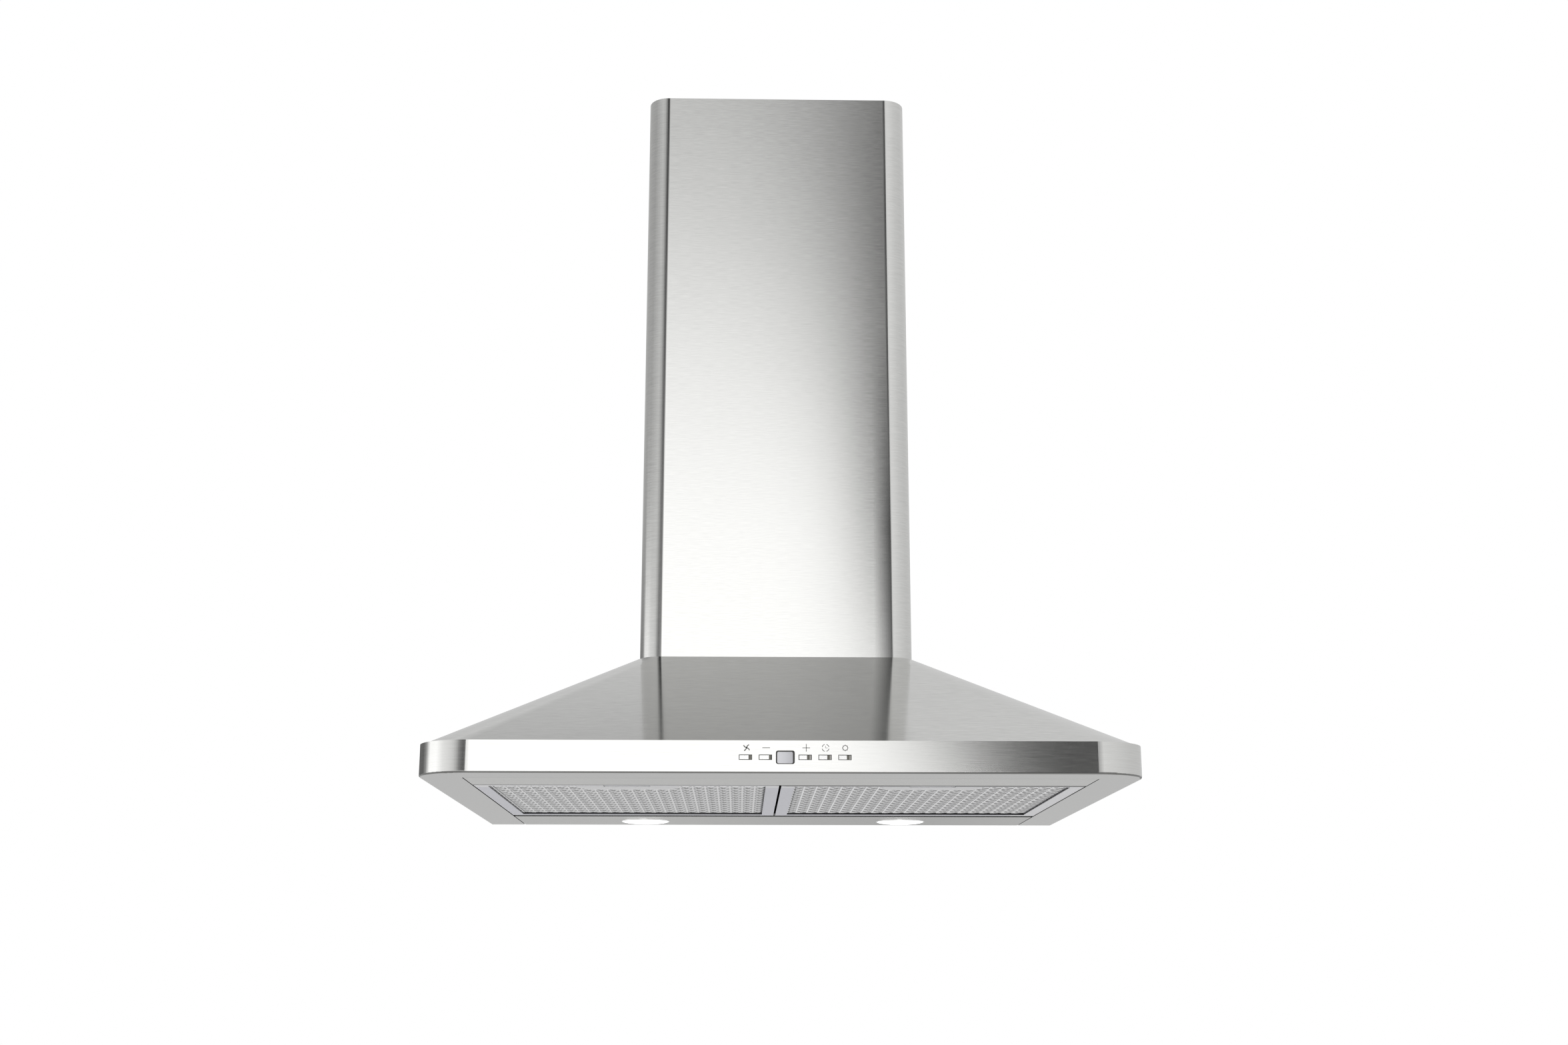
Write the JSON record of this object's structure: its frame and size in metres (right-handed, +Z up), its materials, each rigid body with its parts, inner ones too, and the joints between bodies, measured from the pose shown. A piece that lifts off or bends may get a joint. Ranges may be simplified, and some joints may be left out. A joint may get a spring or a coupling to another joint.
{
  "type": "chimney range hood",
  "caption": "Wall-mounted stainless pyramid range hood with a telescopic flue, push-button controls, drop-down grease filters, lamps and a centrifugal blower with a round duct outlet.",
  "frame": {"origin": "centre of the four wall-fixing holes, on the wall plane at the back of the canopy", "axes": "+Z up, +Y into the wall, +X along the wall to the right as seen from the room"},
  "size_m": [0.6, 0.5002, 0.739],
  "materials": {
    "brushed_stainless": "fine horizontal brushed grain, satin",
    "panel_stainless": "brushed, satin",
    "zinc_plate": "zinc-coated, dull",
    "filter_aluminium": "satin",
    "mesh_aluminium": "bright expanded mesh",
    "latch_plastic": "moulded",
    "spring_steel": "bright drawn wire and strip",
    "lamp_bezel_chrome": "bright",
    "lamp_lens_glass": "frosted, lit",
    "lamp_heat_sink": "cast",
    "white_plastic": "moulded",
    "button_silver": "bright metallised",
    "black_plastic": "moulded",
    "circuit_board": "solder-masked",
    "display_window": "smoked, clear",
    "display_module": "moulded",
    "motor_enamel": "black enamel",
    "bearing_bronze": "sintered",
    "bright_steel": "ground or zinc-plated",
    "impeller_plastic": "moulded",
    "capacitor_white": "moulded"
  },
  "bodies": {
    "hood": {"canopy_shell": "brushed_stainless", "rim_band": "brushed_stainless", "lower_flue_cover": "brushed_stainless", "front_strip": "panel_stainless", "lamp_panel": "panel_stainless", "back_panel": "zinc_plate", "blower_chassis": "zinc_plate", "motor_bracket": "zinc_plate", "flue_feet": "zinc_plate", "capacitor_clip": "zinc_plate", "lamp_clips": "spring_steel", "left_lamp_bezel": "lamp_bezel_chrome", "right_lamp_bezel": "lamp_bezel_chrome", "left_lamp_lens": "lamp_lens_glass", "right_lamp_lens": "lamp_lens_glass", "left_lamp_module": "lamp_heat_sink", "right_lamp_module": "lamp_heat_sink", "lamp_driver": "white_plastic", "terminal_box": "white_plastic", "terminal_box_cover": "white_plastic", "terminal_block": "white_plastic", "control_carrier": "black_plastic", "button_switches": "black_plastic", "scroll_body": "black_plastic", "scroll_cover": "black_plastic", "outlet_collar": "black_plastic", "cable_gland": "black_plastic", "gland_nut": "black_plastic", "control_board": "circuit_board", "display_window": "display_window", "display_module": "display_module", "fan_motor": "motor_enamel", "motor_bearings": "bearing_bronze", "damper_pin": "bright_steel", "bracket_screws": "bright_steel", "collar_screws": "bright_steel", "chassis_screws": "bright_steel", "foot_screws": "bright_steel", "capacitor": "capacitor_white"},
    "fan_rotor": {"motor_shaft": "bright_steel", "impeller": "impeller_plastic"},
    "front_flap": {"front_damper_flap": "black_plastic"},
    "rear_flap": {"rear_damper_flap": "black_plastic"},
    "left_filter": {"left_filter_frame": "filter_aluminium", "left_filter_mesh": "mesh_aluminium", "left_filter_layers": "mesh_aluminium", "left_latch_springs": "spring_steel"},
    "right_filter": {"right_filter_frame": "filter_aluminium", "right_filter_mesh": "mesh_aluminium", "right_filter_layers": "mesh_aluminium", "right_latch_springs": "spring_steel"},
    "left_latch": {"left_filter_latch": "latch_plastic"},
    "right_latch": {"right_filter_latch": "latch_plastic"},
    "upper_flue": {"upper_flue_cover": "brushed_stainless", "upper_flue_bracket": "zinc_plate"},
    "fan_key": {"fan_button": "button_silver"},
    "minus_key": {"minus_button": "button_silver"},
    "plus_key": {"plus_button": "button_silver"},
    "timer_key": {"timer_button": "button_silver"},
    "lamp_key": {"lamp_button": "button_silver"}
  },
  "joints": [
    {"name": "fan_spin", "type": "hinge", "parent": "hood", "child": "fan_rotor", "pos_m": [0, -0.109, 0.165], "axis": [1, 0, 0], "continuous": true},
    {"name": "front_flap_lift", "type": "hinge", "parent": "hood", "child": "front_flap", "pos_m": [0, -0.121, 0.365], "axis": [-1, 0, 0], "range_deg": [0, 75]},
    {"name": "rear_flap_lift", "type": "hinge", "parent": "hood", "child": "rear_flap", "pos_m": [0, -0.121, 0.365], "axis": [1, 0, 0], "range_deg": [0, 75]},
    {"name": "upper_flue_raise", "type": "slide", "parent": "hood", "child": "upper_flue", "axis": [0, 0, 1], "range_m": [0, 0.4]},
    {"name": "left_filter_drop", "type": "hinge", "parent": "hood", "child": "left_filter", "pos_m": [-0.1321, -0.1083, -0.0718], "axis": [1, 0, 0], "range_deg": [0, 70]},
    {"name": "left_latch_pull", "type": "slide", "parent": "left_filter", "child": "left_latch", "axis": [0, 1, 0], "range_m": [0, 0.0035], "stiffness_N_per_m": 400, "springref_m": -0.004, "deforming": ["left_latch_springs"]},
    {"name": "right_filter_drop", "type": "hinge", "parent": "hood", "child": "right_filter", "pos_m": [0.1321, -0.1083, -0.0718], "axis": [1, 0, 0], "range_deg": [0, 70]},
    {"name": "right_latch_pull", "type": "slide", "parent": "right_filter", "child": "right_latch", "axis": [0, 1, 0], "range_m": [0, 0.0035], "stiffness_N_per_m": 400, "springref_m": -0.004, "deforming": ["right_latch_springs"]},
    {"name": "fan_press", "type": "slide", "parent": "hood", "child": "fan_key", "axis": [0, 1, 0], "range_m": [0, 0.001], "stiffness_N_per_m": 1200, "springref_m": -0.0004},
    {"name": "minus_press", "type": "slide", "parent": "hood", "child": "minus_key", "axis": [0, 1, 0], "range_m": [0, 0.001], "stiffness_N_per_m": 1200, "springref_m": -0.0004},
    {"name": "plus_press", "type": "slide", "parent": "hood", "child": "plus_key", "axis": [0, 1, 0], "range_m": [0, 0.001], "stiffness_N_per_m": 1200, "springref_m": -0.0004},
    {"name": "timer_press", "type": "slide", "parent": "hood", "child": "timer_key", "axis": [0, 1, 0], "range_m": [0, 0.001], "stiffness_N_per_m": 1200, "springref_m": -0.0004},
    {"name": "lamp_press", "type": "slide", "parent": "hood", "child": "lamp_key", "axis": [0, 1, 0], "range_m": [0, 0.001], "stiffness_N_per_m": 1200, "springref_m": -0.0004}
  ]
}
